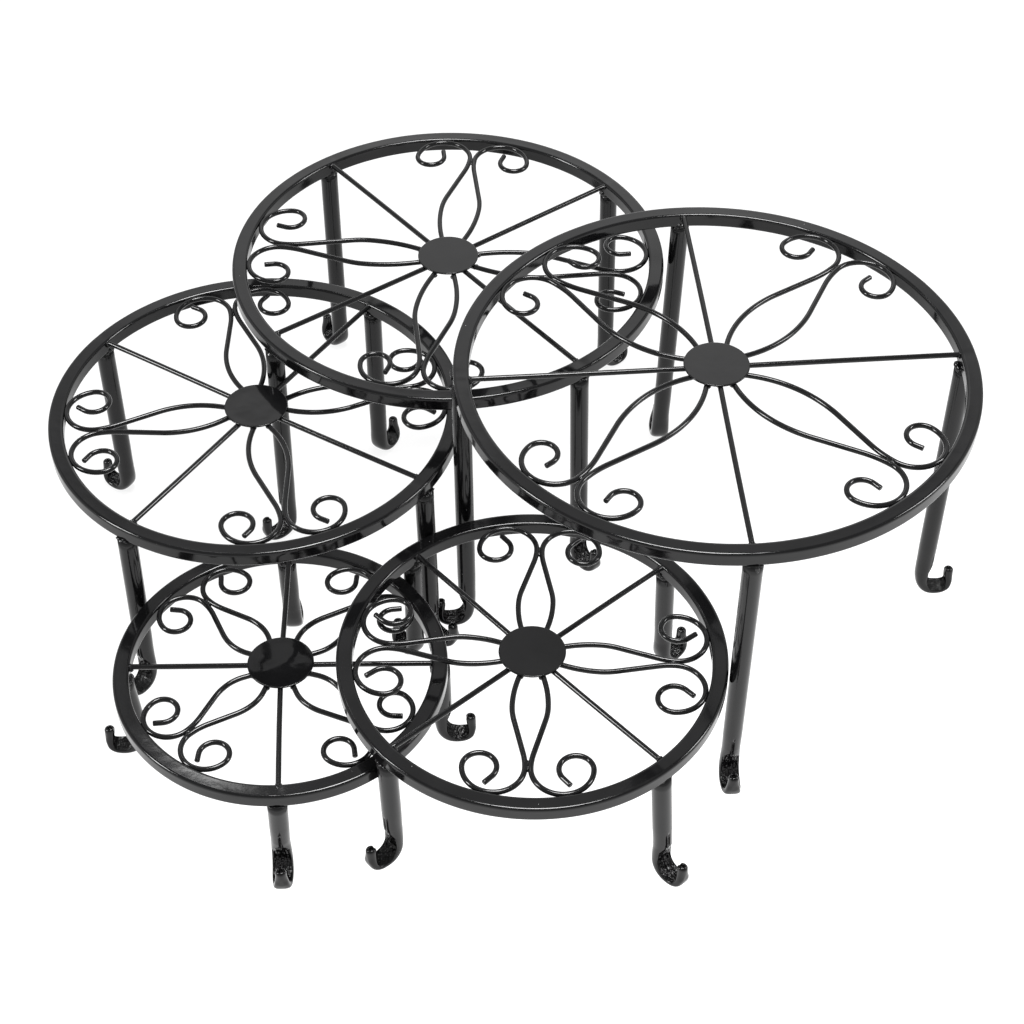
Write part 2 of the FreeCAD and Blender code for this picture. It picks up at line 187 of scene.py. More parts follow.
def wire_tube(points, seed, segments=18):
    """A round painted wire along points in a level plane, with blunt ends."""
    pts = [Vector((p[0], p[1], 0.0)) for p in points]
    rings = []
    last = len(pts) - 1
    total = 0.0
    for i, p in enumerate(pts):
        if i == 0:
            along = pts[1] - pts[0]
        elif i == last:
            along = pts[last] - pts[last - 1]
        else:
            along = pts[i + 1] - pts[i - 1]
            total += (pts[i] - pts[i - 1]).length
        along.normalize()
        side = Vector((-along.y, along.x, 0.0))
        r = WIRE * (1.0 + 0.016 * noise.noise(Vector((total * 0.12, seed * 3.7, 0.0))))
        if i in (0, last):
            # rounded-off cut end
            step = along * (-1 if i == 0 else 1)
            shapes = [(0.0, 1.0), (0.18, 0.97), (0.33, 0.88), (0.42, 0.72), (0.45, 0.45), (0.46, 0.12)]
            if i == 0:
                shapes = shapes[::-1]
            for off, f in shapes:
                rings.append([p + step * (off - 0.46) + side * (r * f * math.cos(t)) +
                              Vector((0, 0, r * f * math.sin(t)))
                              for t in [2 * math.pi * k / segments for k in range(segments)]])
        else:
            rings.append([p + side * (r * math.cos(t)) + Vector((0, 0, r * math.sin(t)))
                          for t in [2 * math.pi * k / segments for k in range(segments)]])
    return skin(rings)


def blob(centre, size, axes, seed, rough=0.22, grain=1.6, detail=3):
    """A lumpy bead of weld: a ball stretched along axes and pushed about by noise."""
    import bmesh
    bm = bmesh.new()
    bmesh.ops.create_icosphere(bm, subdivisions=detail, radius=1.0)
    ax, ay, az = axes
    verts = []
    for v in bm.verts:
        n = v.co.normalized()
        k = 1.0 + rough * fbm(n * grain + Vector((seed * 1.31, seed * 0.77, seed * 2.1)))
        p = (Vector(centre) + Vector(ax) * (n.x * size[0] * k) + Vector(ay) * (n.y * size[1] * k)
             + Vector(az) * (n.z * size[2] * k))
        verts.append(tuple(p))
    faces = [tuple(v.index for v in f.verts) for f in bm.faces]
    bm.free()
    return verts, faces


# ---------------------------------------------------------------- materials

def paint(name, dark, light, rough, peel, speck, seed):
    """Gloss black enamel: faint mottling, orange peel, uneven gloss and a little dust."""
    mat = bpy.data.materials.new(name)
    mat.use_nodes = True
    tree = mat.node_tree
    tree.nodes.clear()
    out = tree.nodes.new("ShaderNodeOutputMaterial")
    bsdf = tree.nodes.new("ShaderNodeBsdfPrincipled")
    tree.links.new(bsdf.outputs["BSDF"], out.inputs["Surface"])
    bsdf.inputs["IOR"].default_value = 1.36
    bsdf.inputs["Metallic"].default_value = 0.0
    coord = tree.nodes.new("ShaderNodeTexCoord")
    shift = tree.nodes.new("ShaderNodeMapping")
    shift.inputs["Location"].default_value = (seed * 0.37, seed * 0.11, seed * 0.23)
    tree.links.new(coord.outputs["Object"], shift.inputs["Vector"])

    mottle = tree.nodes.new("ShaderNodeTexNoise")
    mottle.inputs["Scale"].default_value = 38.0
    mottle.inputs["Detail"].default_value = 3.0
    tree.links.new(shift.outputs["Vector"], mottle.inputs["Vector"])
    ramp = tree.nodes.new("ShaderNodeValToRGB")
    ramp.color_ramp.elements[0].position = 0.30
    ramp.color_ramp.elements[0].color = (dark[0], dark[1], dark[2], 1)
    ramp.color_ramp.elements[1].position = 0.72
    ramp.color_ramp.elements[1].color = (light[0], light[1], light[2], 1)
    tree.links.new(mottle.outputs["Fac"], ramp.inputs["Fac"])

    # sparse dust specks about a third of a millimetre wide
    dust = tree.nodes.new("ShaderNodeTexVoronoi")
    dust.inputs["Scale"].default_value = 210.0
    tree.links.new(shift.outputs["Vector"], dust.inputs["Vector"])
    dot = tree.nodes.new("ShaderNodeMapRange")
    dot.inputs["From Min"].default_value = 0.030
    dot.inputs["From Max"].default_value = 0.055
    dot.inputs["To Min"].default_value = 1.0
    dot.inputs["To Max"].default_value = 0.0
    tree.links.new(dust.outputs["Distance"], dot.inputs["Value"])
    pick = tree.nodes.new("ShaderNodeSeparateColor")
    tree.links.new(dust.outputs["Color"], pick.inputs["Color"])
    few = tree.nodes.new("ShaderNodeMath")
    few.operation = "GREATER_THAN"
    few.inputs[1].default_value = 1.0 - speck
    tree.links.new(pick.outputs["Red"], few.inputs[0])
    both = tree.nodes.new("ShaderNodeMath")
    both.operation = "MULTIPLY"
    tree.links.new(dot.outputs["Result"], both.inputs[0])
    tree.links.new(few.outputs["Value"], both.inputs[1])
    mix = tree.nodes.new("ShaderNodeMix")
    mix.data_type = "RGBA"
    tree.links.new(both.outputs["Value"], mix.inputs["Factor"])
    tree.links.new(ramp.outputs["Color"], mix.inputs[6])
    mix.inputs[7].default_value = (0.34, 0.34, 0.34, 1)
    tree.links.new(mix.outputs[2], bsdf.inputs["Base Color"])

    # gloss that is a little uneven
    haze = tree.nodes.new("ShaderNodeTexNoise")
    haze.inputs["Scale"].default_value = 55.0
    haze.inputs["Detail"].default_value = 4.0
    tree.links.new(shift.outputs["Vector"], haze.inputs["Vector"])
    gloss = tree.nodes.new("ShaderNodeMapRange")
    gloss.inputs["From Min"].default_value = 0.3
    gloss.inputs["From Max"].default_value = 0.75
    gloss.inputs["To Min"].default_value = rough[0]
    gloss.inputs["To Max"].default_value = rough[1]
    tree.links.new(haze.outputs["Fac"], gloss.inputs["Value"])
    tree.links.new(gloss.outputs["Result"], bsdf.inputs["Roughness"])

    # orange peel, a few millimetres across
    skin_noise = tree.nodes.new("ShaderNodeTexNoise")
    skin_noise.inputs["Scale"].default_value = 260.0
    skin_noise.inputs["Detail"].default_value = 2.0
    tree.links.new(shift.outputs["Vector"], skin_noise.inputs["Vector"])
    bump = tree.nodes.new("ShaderNodeBump")
    bump.inputs["Strength"].default_value = peel
    bump.inputs["Distance"].default_value = 0.0006
    tree.links.new(skin_noise.outputs["Fac"], bump.inputs["Height"])
    tree.links.new(bump.outputs["Normal"], bsdf.inputs["Normal"])
    return mat


BLACK_A, BLACK_B = (0.0024, 0.0024, 0.0026), (0.0044, 0.0044, 0.0047)
MATS = {
    "hoop_paint": paint("hoop_enamel", BLACK_A, BLACK_B, (0.06, 0.13), 0.030, 0.05, 1),
    "leg_paint": paint("leg_enamel", BLACK_A, BLACK_B, (0.09, 0.18), 0.035, 0.03, 2),
    "wire_paint": paint("wire_enamel", BLACK_A, BLACK_B, (0.08, 0.16), 0.040, 0.02, 3),
    "plate_paint": paint("plate_enamel", BLACK_A, BLACK_B, (0.05, 0.10), 0.020, 0.05, 4),
    "weld": paint("weld_enamel", BLACK_A, BLACK_B, (0.08, 0.22), 0.080, 0.02, 5),
}


# ---------------------------------------------------------------- hoops

def hoop_profile():
    """Rounded square, counter-clockwise, origin at the middle of the tube."""
    half, r = PAINTED / 2, CORNER
    pts = []
    for cx, cy, a0 in ((1, 1, 0), (-1, 1, 90), (-1, -1, 180), (1, -1, 270)):
        for k in range(9):
            a = math.radians(a0 + 90 * k / 8)
            pts.append((cx * (half - r) + r * math.cos(a), cy * (half - r) + r * math.sin(a)))
        # support points along the flat that follows
        x, y = pts[-1]
        dx, dy = {0: (-1, 0), 90: (0, -1), 180: (1, 0), 270: (0, 1)}[a0]
        length = PAINTED - 2 * r
        for f in (0.2, 0.8, length * 0.33, length / 2, length * 0.67, length - 0.8, length - 0.2):
            pts.append((x + dx * f, y + dy * f))
    return pts


PROFILE = hoop_profile()


def build_hoop(stand):
    row = STANDS[stand]
    seed = row["seed"]
    mid = row["radius"] - PAINTED / 2
    flat = PAINTED / 2 - CORNER
    count = 600
    rings = []
    p1, p2, p3, p4 = [math.fmod(seed * k, 6.283) for k in (0.7, 1.9, 3.1, 4.3)]
    for i in range(count):
        a = 2 * math.pi * i / count
        c, s = math.cos(a), math.sin(a)
        # the tube is rolled by hand-fed rollers: it wanders and twists very slightly
        dr = 0.10 * math.sin(2 * a + p1) + 0.05 * math.sin(7 * a + p2)
        twist = math.radians(0.45 * math.sin(2 * a + p3) + 0.28 * math.sin(5 * a + p4)
                             + 0.16 * math.sin(11 * a + p1))
        twist += math.radians(0.30) * noise.noise(Vector((c * mid / 20, s * mid / 20, seed * 0.37)))
        ct, st = math.cos(twist), math.sin(twist)
        ring = []
        # each leg's weld has drawn the top face down a little
        dip = 0.0
        for q in range(4):
            off = math.remainder(a - math.radians(90 * q), 2 * math.pi) * mid
            dip += 0.10 * math.exp(-(off / 6.0) ** 2) * math.sin(seed + q * 2.1 + off * 0.25)
        for x, z in PROFILE:
            xr, zr = x * ct - z * st, x * st + z * ct
            ripple = noise.noise(Vector((c * mid / 9, s * mid / 9, seed * 0.53 + (x + z) * 0.16)))
            if zr > 3.0:
                zr += min(0.0, dip) - max(0.0, dip) * 0.5 - 0.03 * (1 - (x / 5.0) ** 2) - 0.022 * (1 + ripple)
            elif abs(z) < 3.2:
                xr += 0.045 * ripple
            if abs(x) > flat and abs(z) > flat:
                # the corners were drawn and sanded unevenly
                pinch = (noise.noise(Vector((c * mid / 13, s * mid / 13, seed * 0.31 + x + z)))
                         + 0.5 * noise.noise(Vector((c * mid / 4.5, s * mid / 4.5, seed * 0.77 + x + z))) - 0.6)
                pinch *= 0.075 * min(1.0, 3 * min(abs(x), abs(z)) / PAINTED - 3 * flat / PAINTED)
                xr += math.copysign(pinch, x)
                zr += math.copysign(pinch, z)
            r = mid + dr + xr
            ring.append((r * c, r * s, min(zr, PAINTED / 2) - PAINTED / 2))
        rings.append(ring)
    verts, faces = skin(rings, closed=True)
    obj = make_object("%s_hoop_tube" % stand, placed(verts, stand, row["turn"], row["height"]), faces,
                      [MATS["hoop_paint"]])
    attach(obj, "%s_stand" % stand)
    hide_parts("%s_hoop" % stand)


# ---------------------------------------------------------------- centre plates

def build_plate(stand):
    row = STANDS[stand]
    seed = row["seed"]
    seg = 120
    wave = {"smallest": 0.085, "medium": 0.03, "small": 0.015, "large": 0.02, "largest": 0.02}[stand]
    rings = []
    edge = 0.45
    steps = [0.6, 2.5, 5, 7.5, 10, 12.5, 15, 17, 18.6, 19.8, 20.6, PLATE_R - edge]

    def dish(x, y):
        return wave * (noise.noise(Vector((x * 0.085, y * 0.085, seed * 1.7)))
                       + 0.5 * noise.noise(Vector((x * 0.21, y * 0.21, seed * 0.9))) - 1.1)

    def ring(r, z, rel):
        out = []
        for k in range(seg):
            a = 2 * math.pi * k / seg
            x, y = r * math.cos(a), r * math.sin(a)
            out.append((x, y, z + rel * dish(x, y)))
        return out

    for r in steps:
        rings.append(ring(r, 0.0, smoothstep(PLATE_R, 15, r)))
    for k in range(1, 9):
        a = math.radians(90 - 180 * k / 8)
        rings.append(ring(PLATE_R - edge + edge * math.cos(a), -PLATE_T / 2 + (PLATE_T / 2) * math.sin(a), 0.0))
    for r in (18.0, 12.0, 6.0, 0.6):
        rings.append(ring(r, -PLATE_T, 0.0))
    verts, faces = skin(rings)
    faces = [tuple(reversed(f)) for f in faces]
    obj = make_object("%s_plate" % stand,
                      placed(verts, stand, row["turn"], row["height"] + PLATE_RISE), faces, [MATS["plate_paint"]])
    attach(obj, "%s_stand" % stand)
    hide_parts("%s_centre_plate" % stand)


# ---------------------------------------------------------------- wires

def build_spokes(stand):
    row = STANDS[stand]
    parts = []
    inner = row["radius"] - SIDE
    for q in range(4):
        span = inner - 14.0
        pts = []
        for i in range(41):
            f = i / 40
            # a spoke is straight to within a hair
            bow = 0.18 * math.sin(math.pi * f) * (1 if (row["seed"] + q) % 2 else -1)
            pts.append((14.0 + span * f, bow))
        v, f = wire_tube(pts, row["seed"] + q)
        parts.append((placed(v, stand, row["turn"] + 90 * q + SPOKE_TURNS[stand][q], row["height"] - WIRE_DROP), f))
    verts, faces = merge(parts)
    obj = make_object("%s_spoke_wires" % stand, verts, faces, [MATS["wire_paint"]])
    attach(obj, "%s_stand" % stand)
    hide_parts("%s_spokes" % stand)


def petal_line(stand):
    """Centre line of one petal wire: x outward, y to its own side; and its landmarks."""
    row = STANDS[stand]
    half = WIRE + 0.02
    inner = row["radius"] - SIDE
    scroll, curl, hook = row["scroll"], row["curl"], math.radians(row["hook"])
    lobe, neck = row["lobe"], row["neck"]
    (sx, sy), (px, py) = row["start"], row["peak"]
    reach = inner - WIRE + 0.03 - scroll
    kx = math.sqrt(reach ** 2 - (half + scroll) ** 2)
    ky = half
    low, high = 0.02, 1.2
    for _ in range(80):
        b = (low + high) / 2
        jx, jy = px + lobe * math.sin(b), py - lobe * (1 - math.cos(b))
        ix, iy = kx - neck * math.sin(b), ky + neck * (1 - math.cos(b))
        if (jy - iy) > math.tan(b) * (ix - jx):
            low = b
        else:
            high = b
    a = 2 * math.atan2(py - sy, px - sx)
    rise = (px - sx) / math.sin(a)
    pts = []

    def add(x, y):
        if not pts or math.hypot(x - pts[-1][0], y - pts[-1][1]) > 1e-4:
            pts.append((x, y))

    def arc(cx, cy, r, t0, t1, n):
        for i in range(n + 1):
            t = t0 + (t1 - t0) * i / n
            add(cx + r * math.cos(t), cy + r * math.sin(t))

    up = math.pi / 2
    for i in range(8):
        f = i / 8
        add(sx - 9.0 * (1 - f) * math.cos(a), sy - 9.0 * (1 - f) * math.sin(a))
    arc(px, py - rise, rise, up + a, up, 26)
    arc(px, py - lobe, lobe, up, up - b, 20)
    for i in range(1, 10):
        f = i / 10
        add(jx + (ix - jx) * f, jy + (iy - jy) * f)
    arc(kx, ky + neck, neck, -up - b, -up, 16)
    arc(kx, ky + scroll, scroll, -up, up, 44)
    cy = ky + 2 * scroll - curl
    arc(kx, cy, curl, up, up + math.pi + hook, 40)
    ex, ey = pts[-1]
    for i in range(1, 6):
        f = i / 5
        add(ex + math.cos(hook) * row["end"] * f, ey + math.sin(hook) * row["end"] * f)
    # where the scroll touches the hoop
    d = math.hypot(kx, ky + scroll)
    touch = ((kx / d) * (d + scroll), ((ky + scroll) / d) * (d + scroll))
    return pts, dict(kiss=(kx, ky), touch=touch)


def build_petals(stand):
    row = STANDS[stand]
    pts, _ = petal_line(stand)
    names = CORNERS if stand in ("largest", "smallest") else TURNED
    for q, place in enumerate(names):
        parts = []
        for sign in (1, -1):
            line = [(x, y * sign) for x, y in pts]
            v, f = wire_tube(line, row["seed"] * 2 + q * 5 + sign)
            parts.append((placed(v, stand, row["turn"] + 45 + 90 * q + PETAL_TURNS[stand][q],
                                 row["height"] - WIRE_DROP), f))
        verts, faces = merge(parts)
        obj = make_object("%s_petal_wires_%s" % (stand, place), verts, faces, [MATS["wire_paint"]])
        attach(obj, "%s_stand" % stand)
        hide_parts("%s_petal_%s" % (stand, place))


# ---------------------------------------------------------------- legs

def spline(rows, f):
    """Catmull-Rom through equally counted rows; f runs from 0 to len - 1."""
    i = min(int(f), len(rows) - 2)
    u = f - i
    p1, p2 = np.array(rows[i]), np.array(rows[i + 1])
    p0 = np.array(rows[i - 1]) if i else 2 * p1 - p2
    p3 = np.array(rows[i + 2]) if i + 2 < len(rows) else 2 * p2 - p1
    return 0.5 * (2 * p1 + (p2 - p0) * u + (2 * p0 - 5 * p1 + 4 * p2 - p3) * u * u
                  + (3 * p1 - p0 - 3 * p2 + p3) * u ** 3)


def blend(keys, f):
    """Smooth value between (station, value) keys."""
    if f <= keys[0][0]:
        return keys[0][1]
    for (f0, v0), (f1, v1) in zip(keys, keys[1:]):
        if f <= f1:
            return v0 + (v1 - v0) * smoothstep(f0, f1, f)
    return keys[-1][1]


def leg_rings(stand, quarter, seed):
    """Rings of a leg from its top to the end of its curled foot; x outward."""
    row = STANDS[stand]
    top = row["height"] - SIDE
    out, side = LEANS[stand][quarter]
    seat_out, seat_side = SEATS[stand][quarter]
    out += SPLAY * (top - FOOT_TOP)
    mid = row["radius"] - SIDE / 2
    seg = 112
    # points are closest together on the outward face, where the crush is
    angles = []
    for k in range(seg):
        t = 2 * math.pi * k / seg
        angles.append(t - 0.58 * math.sin(t))
    rings = []
    apex = 0.62 + 0.12 * noise.noise(Vector((seed * 0.73, 1.1, 0.4)))
    skew = 0.10 * noise.noise(Vector((seed * 0.41, 7.7, 2.2)))

    def place(z):
        """Middle of the tube at a height."""
        down = (top - z) / (top - 25.6)
        return mid + out * down + seat_out * (1 - down), side * down + seat_side * (1 - down)

    def wrinkle(x, s):
        """Folds of crushed metal, mostly running along the foot."""
        n1 = noise.noise(Vector((x * 0.70, s * 0.14, seed * 2.3)))
        n2 = noise.noise(Vector((x * 1.1, s * 0.50, seed * 1.1 + 4.0)))
        n3 = noise.noise(Vector((x * 1.7, s * 1.3, seed * 0.7 + 9.0)))
        return (1.0 - 2.2 * abs(n1)) * 0.6 + 0.5 * n2 + 0.34 * n3

    def ring_at(ox, oz, ix, iz, half, power, width, depth, grit, groove, s):
        mx, mz = (ox + ix) / 2, (oz + iz) / 2
        ux, uz = (ix - ox) / 2, (iz - oz) / 2
        a = math.hypot(ux, uz)
        ux, uz = ux / a, uz / a
        ring = []
        for t in angles:
            ct, st = math.cos(t), math.sin(t)
            inward = a * math.copysign(abs(ct) ** (2 / power), ct)
            across = half * math.copysign(abs(st) ** (2 / power), st)
            if ct > 0:
                d = 0.0
                if width > 0:
                    r = abs(across / half - skew * 0.5) / width
                    if r < 1:
                        d = depth * (1 - r ** 3) ** 0.62
                        if grit:
                            d -= grit * min(1.0, d / 1.4) * wrinkle(across, s)
                if groove:
                    g = abs(across - skew * 2.0) / 0.85
                    if g < 1:
                        d = max(d, groove * (1 - g * g) ** 0.8)
                inward -= d
            ring.append((mx + ux * inward, across, mz + uz * inward))
        return ring

    # straight tube
    for z in np.linspace(top, 48.0, max(4, int((top - 48.0) / 7))):
        cx, cy = place(z)
        wob = LEG * (1.0 + 0.004 * noise.noise(Vector((z * 0.05, seed * 1.3, 0))))
        rings.append([(cx + wob * math.cos(t), cy + wob * math.sin(t), z) for t in angles])
    # crease that runs up the outward face above the crushed end
    for z in np.linspace(46.5, 31.2, 22):
        cx, cy = place(z)
        groove = 1.7 * smoothstep(45.0 + 20 * skew, 33.0, z)
        slim = 6.16 + (LEG - 6.16) * smoothstep(30.0, 46.5, z)
        ring = ring_at(-slim, z, slim, z, slim, 2.0, 0.0, 0.0, 0.0, groove, 0.0)
        rings.append([(cx + p[0], cy + p[1], p[2]) for p in ring])
    # crushed bend: an arch-topped trough with standing rims, folded up at the toe
    rows = [(-6.15, 30.0, 6.10, 30.6, 6.17)] + FOOT
    n = 150
    for i in range(n + 1):
        f = (len(rows) - 1) * i / n
        ox, oz, ix, iz, half = spline(rows, f)
        power = blend(((1.2, 2.0), (3.6, 2.7), (7.2, 2.9), (9.4, 2.0)), f)
        arch = min(1.0, max(0.0, (f - apex) / 0.95))
        width = 0.87 * arch * (1.35 - 0.35 * arch)
        width *= blend(((5.8, 1.0), (7.4, 0.80), (8.6, 0.62), (10.0, 0.5)), f)
        a = math.hypot(ix - ox, iz - oz) / 2
        depth = a * blend(((apex, 0.0), (apex + 0.6, 0.15), (2.0, 0.42), (3.0, 0.66), (4.2, 0.80), (6.0, 0.82),
                           (7.0, 0.62), (8.2, 0.36), (10.0, 0.22)), f)
        grit = 0.75 * blend(((1.0, 0.30), (2.2, 1.0), (5.8, 1.0), (7.2, 0.35), (9.0, 0.0)), f)
        groove = 1.7 * (1 - smoothstep(apex + 0.5, apex + 1.1, f))
        ring = ring_at(ox, oz, ix, iz, half, power, width, depth, grit, groove, f * 6.5)
        lead = place(25.6) if f >= 1 else place(30.3 - 4.7 * f)
        rings.append([(lead[0] + min(p[0], 22.03), lead[1] + p[1], p[2] + FOOT_LEVEL * smoothstep(0.0, 1.0, f))
                      for p in ring])
    # rounded end of the nub, with the pinched hole in its middle
    last = rings[-1]
    centre = Vector((sum(p[0] for p in last), sum(p[1] for p in last), sum(p[2] for p in last))) / seg
    for k, (off, f) in enumerate(((0.8, 0.985), (1.5, 0.91), (2.05, 0.78), (2.35, 0.62), (2.35, 0.50), (1.9, 0.40),
                                  (1.1, 0.30), (0.4, 0.16))):
        lump = 0.16 * noise.noise(Vector((seed * 1.9, k * 0.8, 3.3)))
        rings.append([tuple(centre + (Vector(p) - centre) * f + Vector((0, 0, off + lump * (f < 0.9)))) for p in last])
    return rings


def build_legs(stand):
    row = STANDS[stand]
    names = STRAIGHT if stand in ("largest", "smallest") else CORNERS
    for q, place in enumerate(names):
        rings = leg_rings(stand, q, row["seed"] + q * 7)
        verts, faces = skin(rings)
        obj = make_object("%s_leg_tube_%s" % (stand, place), placed(verts, stand, row["turn"] + 90 * q), faces,
                          [MATS["leg_paint"]])
        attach(obj, "%s_stand" % stand)
        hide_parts("%s_leg_%s" % (stand, place))


# ---------------------------------------------------------------- welds

def build_welds(stand):
    """Beads where legs, spokes and scrolls meet the hoop, and where petals kiss."""
    row = STANDS[stand]
    seed = row["seed"]
    H, R = row["height"], row["radius"]
    inner = R - SIDE
    parts = []
    X, Y, Z = (1, 0, 0), (0, 1, 0), (0, 0, 1)
    _, marks = petal_line(stand)
    for q in range(4):
        turn = row["turn"] + 90 * q
        beads = []
        # leg under the hoop: a lumpy run on the inner side, a thin one outside
        seat_out, seat_side = SEATS[stand][q]
        for k, (y, r, z, sx, sy, sz, lump) in enumerate((
                (-2.2, inner + 0.1, H - SIDE - 0.5, 1.7, 2.3, 1.8, 0.24),
                (0.4, inner - 0.2, H - SIDE + 0.4, 1.9, 2.3, 2.3, 0.24),
                (2.5, inner + 0.2, H - SIDE - 0.7, 1.6, 2.1, 1.7, 0.24),
                (0.6, inner + 0.5, H - SIDE - 2.6, 1.3, 2.0, 1.5, 0.24),
                (-2.6, R - 0.2, H - SIDE - 0.1, 0.9, 2.4, 0.7, 0.12),
                (0.6, R + 0.1, H - SIDE - 0.2, 0.9, 2.6, 0.8, 0.12),
                (3.0, R - 0.3, H - SIDE - 0.1, 0.9, 2.0, 0.7, 0.12))):
            beads.append(blob((r + seat_out, y + seat_side, z), (sx, sy, sz), (X, Y, Z), seed + q * 13 + k, lump, 1.9))
        # end of the spoke
        ends = []
        ends.append(blob((inner - 0.7, 0.2, H - WIRE_DROP - 0.3), (1.5, 2.3, 2.2), (X, Y, Z),
                          seed + q * 17 + 3, 0.28, 1.8))
        if stand == "smallest" and q == 3:
            # this one ran up over the hoop's top
            ends.append(blob((inner + 1.3, -0.6, H - 0.4), (2.9, 1.1, 0.75), (X, Y, Z), seed + 83, 0.22, 1.5))
        ends.append(blob((inner - 1.4, 1.2, H - WIRE_DROP - 1.5), (1.5, 1.5, 1.5), (X, Y, Z),
                          seed + q * 19 + 5, 0.30, 1.8, 2))
        spoke_turn = turn + SPOKE_TURNS[stand][q]
        parts.extend((placed(v, stand, turn), f) for v, f in beads)
        parts.extend((placed(v, stand, spoke_turn), f) for v, f in ends)
        # petals: the kiss and the two touching scrolls
        beads = []
        kx, ky = marks["kiss"]
        beads.append(blob((kx - 1.5, 0.0, H - WIRE_DROP - 0.1), (4.2, 1.1, 1.35), (X, Y, Z),
                          seed + q * 23 + 7, 0.25, 1.7))
        tx, ty = marks["touch"]
        for sign in (1, -1):
            d = math.hypot(tx, ty)
            out = (tx / d, sign * ty / d, 0)
            side = (-out[1], out[0], 0)
            centre = (out[0] * (inner - 0.5), out[1] * (inner - 0.5), H - WIRE_DROP - 0.5)
            beads.append(blob(centre, (0.9, 3.2, 1.35), (out, side, Z), seed + q * 29 + 11 + sign, 0.28, 1.8))
        # wires under the plate
        for sign in (1, -1):
            sx, sy = row["start"]
            beads.append(blob((sx - 4.4, sign * (sy - 1.8), H - WIRE_DROP - 0.2), (2.4, 2.3, 1.7), (X, Y, Z),
                              seed + q * 31 + 17 + sign, 0.28, 1.6, 2))
        parts.extend((placed(v, stand, turn + 45 + PETAL_TURNS[stand][q]), f) for v, f in beads)
        v, f = blob((17.0, 0.0, H - WIRE_DROP - 0.2), (2.6, 2.3, 1.7), (X, Y, Z), seed + q * 37 + 19, 0.28, 1.6, 2)
        parts.append((placed(v, stand, spoke_turn), f))
    if stand == "largest":
        # a drip on the outward face of the front leg's top
        turn = row["turn"] + 270
        for k, (y, z, s) in enumerate(((1.3, -1.4, 1.5), (1.5, -2.7, 1.3), (1.5, -3.9, 1.0))):
            v, f = blob((R + 0.8, y, H - SIDE + z), (s * 0.8, s, s * 1.2), (X, Y, Z), seed + 91 + k, 0.25, 1.6)
            parts.append((placed(v, stand, turn), f))
    verts, faces = merge(parts)
    obj = make_object("%s_welds" % stand, verts, faces, [MATS["weld"]])
    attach(obj, "%s_stand" % stand)


for stand in STANDS:
    build_hoop(stand)
    build_plate(stand)
    build_spokes(stand)
    build_petals(stand)
    build_legs(stand)
    build_welds(stand)


# ---------------------------------------------------------------- stage

def floor_material():
    """White sweep that glows: its emission is painted light, stronger towards the front, and it washes out cast
    shadows.
    """
    mat = bpy.data.materials.new("studio_floor")
    mat.use_nodes = True
    tree = mat.node_tree
    bsdf = tree.nodes["Principled BSDF"]
    bsdf.inputs["Roughness"].default_value = 1.0
    bsdf.inputs["Specular IOR Level"].default_value = 0.0
    bsdf.inputs["Base Color"].default_value = (0.12, 0.12, 0.12, 1)
    bsdf.inputs["Emission Color"].default_value = (1, 1, 1, 1)
    # painted light: the floor's emission strength rises towards the front
    coord = tree.nodes.new("ShaderNodeTexCoord")
    painted_light_slope = tree.nodes.new("ShaderNodeVectorMath")
    painted_light_slope.operation = "DOT_PRODUCT"
    painted_light_slope.inputs[1].default_value = (0.9, -2.0, 0.0)
    tree.links.new(coord.outputs["Object"], painted_light_slope.inputs[0])
    level = tree.nodes.new("ShaderNodeMapRange")
    level.inputs["From Min"].default_value = -0.25
    level.inputs["From Max"].default_value = 0.95
    level.inputs["To Min"].default_value = 0.86
    level.inputs["To Max"].default_value = 1.55
    tree.links.new(painted_light_slope.outputs["Value"], level.inputs["Value"])
    tree.links.new(level.outputs["Result"], bsdf.inputs["Emission Strength"])
    return mat


floor_mesh = bpy.data.meshes.new("floor")
floor_mesh.from_pydata([(-6, -6, 0), (6, -6, 0), (6, 6, 0), (-6, 6, 0)], [], [(0, 1, 2, 3)])
floor = bpy.data.objects.new("floor", floor_mesh)
floor_mesh.materials.append(floor_material())
bpy.context.scene.collection.objects.link(floor)

# white studio: a bright wall behind, dark at its foot, dimmer to the left, darker overhead
# and behind the camera
world = bpy.data.worlds.new("studio")
bpy.context.scene.world = world
world.use_nodes = True
tree = world.node_tree
tree.nodes.clear()
w_out = tree.nodes.new("ShaderNodeOutputWorld")
w_bg = tree.nodes.new("ShaderNodeBackground")
w_coord = tree.nodes.new("ShaderNodeTexCoord")
w_split = tree.nodes.new("ShaderNodeSeparateXYZ")
tree.links.new(w_coord.outputs["Generated"], w_split.inputs["Vector"])
tree.links.new(w_bg.outputs["Background"], w_out.inputs["Surface"])


def grey_ramp(source, keys):
    node = tree.nodes.new("ShaderNodeValToRGB")
    tree.links.new(source, node.inputs["Fac"])
    elements = node.color_ramp.elements
    while len(elements) > 1:
        elements.remove(elements[-1])
    elements[0].position = keys[0][0]
    elements[0].color = (keys[0][1],) * 3 + (1,)
    for pos, val in keys[1:]:
        elements.new(pos).color = (val, val, val, 1)
    return node


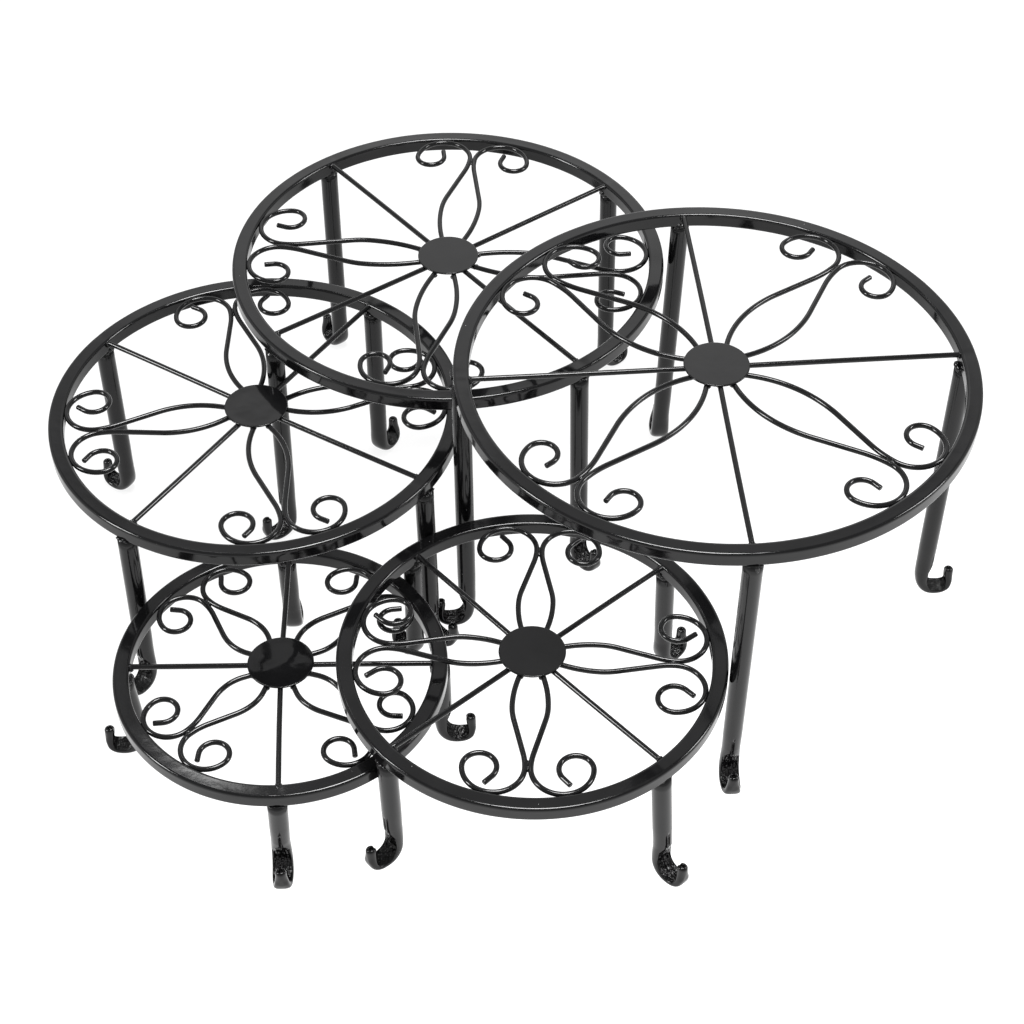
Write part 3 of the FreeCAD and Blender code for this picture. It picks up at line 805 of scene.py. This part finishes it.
w_back = grey_ramp(w_split.outputs["Z"], ((0.0, 0.8), (0.24, 1.0), (0.38, 2.1), (0.46, 2.6), (0.52, 2.1), (0.56, 1.75), (0.60, 1.50), (0.655, 1.50),
                                          (0.668, 1.28), (0.68, 0.98), (0.69, 0.86), (0.71, 0.80), (0.755, 0.88),
                                          (0.775, 0.72), (0.80, 0.86), (0.85, 0.75), (1.0, 0.6)))
w_front = grey_ramp(w_split.outputs["Z"], ((0.0, 1.1), (0.25, 0.9), (0.5, 0.45), (0.8, 0.42), (1.0, 0.5)))
w_spread = tree.nodes.new("ShaderNodeMapRange")
w_spread.inputs["From Min"].default_value = -0.5
w_spread.inputs["From Max"].default_value = 0.5
tree.links.new(w_split.outputs["X"], w_spread.inputs["Value"])
w_across = grey_ramp(w_spread.outputs["Result"], ((0.0, 0.5), (0.27, 0.55), (0.295, 0.62), (0.325, 0.95), (0.5, 0.98),
                                                  (0.60, 1.10), (0.66, 1.00), (0.71, 0.62), (0.8, 0.55), (1.0, 0.50)))
w_scale = tree.nodes.new("ShaderNodeMix")
w_scale.data_type = "RGBA"
w_scale.blend_type = "MULTIPLY"
w_scale.inputs["Factor"].default_value = 1.0
tree.links.new(w_back.outputs["Color"], w_scale.inputs[6])
tree.links.new(w_across.outputs["Color"], w_scale.inputs[7])
w_side = tree.nodes.new("ShaderNodeMapRange")
w_side.interpolation_type = "SMOOTHSTEP"
w_side.inputs["From Min"].default_value = -0.15
w_side.inputs["From Max"].default_value = 0.35
tree.links.new(w_split.outputs["Y"], w_side.inputs["Value"])
w_mix = tree.nodes.new("ShaderNodeMix")
w_mix.data_type = "RGBA"
tree.links.new(w_side.outputs["Result"], w_mix.inputs["Factor"])
tree.links.new(w_front.outputs["Color"], w_mix.inputs[6])
tree.links.new(w_scale.outputs[2], w_mix.inputs[7])
tree.links.new(w_mix.outputs[2], w_bg.inputs["Color"])


def softbox(name, place, aim, width, height, power):
    lamp = bpy.data.lights.new(name, "AREA")
    lamp.shape = "RECTANGLE"
    lamp.size = width
    lamp.size_y = height
    lamp.energy = power
    obj = bpy.data.objects.new(name, lamp)
    obj.location = place
    obj.rotation_euler = (Vector(aim) - Vector(place)).to_track_quat("-Z", "Y").to_euler()
    bpy.context.scene.collection.objects.link(obj)
    return obj


softbox("overhead", (0.1, 0.15, 2.3), (0, 0, 0), 0.75, 0.60, 64.0)
softbox("left_box", (-2.0, -0.5, 1.5), (0, 0, 0.1), 0.35, 1.0, 40.0)
softbox("right_box", (2.0, 0.1, 1.6), (0, 0, 0.1), 0.35, 1.0, 30.0)
softbox("window", (-0.50, 0.95, 1.66), (-0.2, -0.25, 0.08), 0.14, 0.07, 0.40)

# ---------------------------------------------------------------- camera

cam_data = bpy.data.cameras.new("camera")
cam_data.sensor_fit = "HORIZONTAL"
cam_data.sensor_width = 36.0
cam_data.lens = 36.0 * 2066.289 / 1024.0
cam = bpy.data.objects.new("camera", cam_data)
pitch, roll = math.radians(44.9933), math.radians(-0.2929)
forward = Vector((0, math.cos(pitch), -math.sin(pitch)))
right = Vector((1, 0, 0))
down = forward.cross(right)
axis_x = right * math.cos(roll) + down * math.sin(roll)
axis_y = -(down * math.cos(roll) - right * math.sin(roll))
axis_z = -forward
place = Vector((-0.993, -1032.242, 1095.867)) * MM
cam.matrix_world = Matrix(((axis_x.x, axis_y.x, axis_z.x, place.x),
                           (axis_x.y, axis_y.y, axis_z.y, place.y),
                           (axis_x.z, axis_y.z, axis_z.z, place.z),
                           (0, 0, 0, 1)))
bpy.context.scene.collection.objects.link(cam)
bpy.context.scene.camera = cam

bpy.context.scene.view_settings.view_transform = "Standard"
bpy.context.scene.view_settings.look = "None"

bpy.context.view_layer.update()
